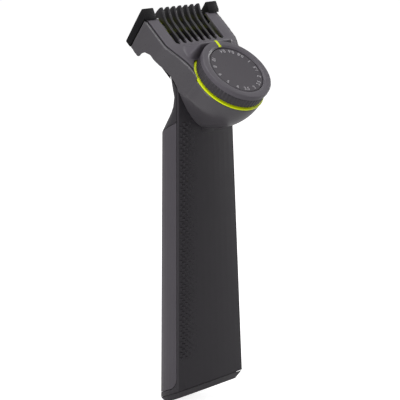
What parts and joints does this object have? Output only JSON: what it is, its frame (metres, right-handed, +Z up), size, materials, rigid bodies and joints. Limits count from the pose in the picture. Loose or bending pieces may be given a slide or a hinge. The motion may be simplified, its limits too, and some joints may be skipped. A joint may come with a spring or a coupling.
{
  "type": "body groomer",
  "caption": "Dark grey body groomer with a slanted base, a curved-rib comb guard and a numbered length dial that slides the guard.",
  "frame": {"origin": "centre of the slanted flat face under the handle, on the handle's middle axis", "axes": "+Z up along the handle towards the blade head, -Y towards the side the dial is on, +X across the blade to the right as seen from the dial's side"},
  "size_m": [0.05, 0.0655, 0.2039],
  "materials": {
    "shell": "matte",
    "panel": "satin",
    "comb": "satin",
    "plate": "satin",
    "black": "matte",
    "lime": "satin",
    "disc": "matte",
    "steel": "satin",
    "brass": "satin",
    "rubber": "matte",
    "board": "satin",
    "cell": "gloss",
    "inner": "matte",
    "clear": "gloss"
  },
  "bodies": {
    "handle": {"front_shell": "shell", "back_shell": "panel", "neck_cover": "shell", "bottom_cap": "shell", "charge_port": "black", "port_tongue": "brass", "battery_cell": "cell", "battery_tab_lower": "steel", "battery_tab_upper": "steel", "main_board": "board", "tact_switch": "black", "status_light": "clear", "chassis": "inner", "base_screw_left": "steel", "base_screw_right": "steel", "motor": "steel", "motor_gasket": "rubber", "head_housing": "black", "blade_base": "lime", "cutter_spring": "steel", "fixed_guard": "steel", "guard_frame": "lime"},
    "button": {"power_button": "shell"},
    "rotor": {"crank": "inner"},
    "cutter": {"drive_arm": "inner", "moving_cutter": "steel"},
    "comb": {"comb_base": "comb", "accent_ring": "lime", "bezel": "plate", "index_marker": "lime", "dial_spindle": "steel", "detent_spring": "steel"},
    "dial": {"dial_wheel": "disc", "number_disc": "disc", "spiral_cam": "inner"},
    "guard": {"comb_guard": "plate", "guard_slider": "black", "end_cap_left": "black", "end_cap_right": "black"}
  },
  "joints": [
    {"name": "comb_lift", "type": "slide", "parent": "handle", "child": "comb", "axis": [0, 0, 1], "range_m": [0, 0.045]},
    {"name": "dial_turn", "type": "hinge", "parent": "comb", "child": "dial", "pos_m": [0, -0.0304, 0.1716], "axis": [0, -0.6428, 0.766], "range_deg": [0, 312]},
    {"name": "guard_slide", "type": "slide", "parent": "comb", "child": "guard", "axis": [0, 0.766, 0.6428], "range_m": [0, 0.0096]},
    {"name": "button_press", "type": "slide", "parent": "handle", "child": "button", "axis": [0, -1, 0], "range_m": [0, 0.0008], "stiffness_N_per_m": 1500},
    {"name": "cutter_slide", "type": "slide", "parent": "handle", "child": "cutter", "axis": [1, 0, 0], "range_m": [-0.0008, 0.0008]},
    {"name": "crank_spin", "type": "hinge", "parent": "handle", "child": "rotor", "pos_m": [0, 0.001, 0.13], "axis": [0, 0, 1], "continuous": true}
  ],
  "couplings": [
    {"joint": "guard_slide", "follows": "dial_turn", "m_per_rad": 0.0017629}
  ]
}
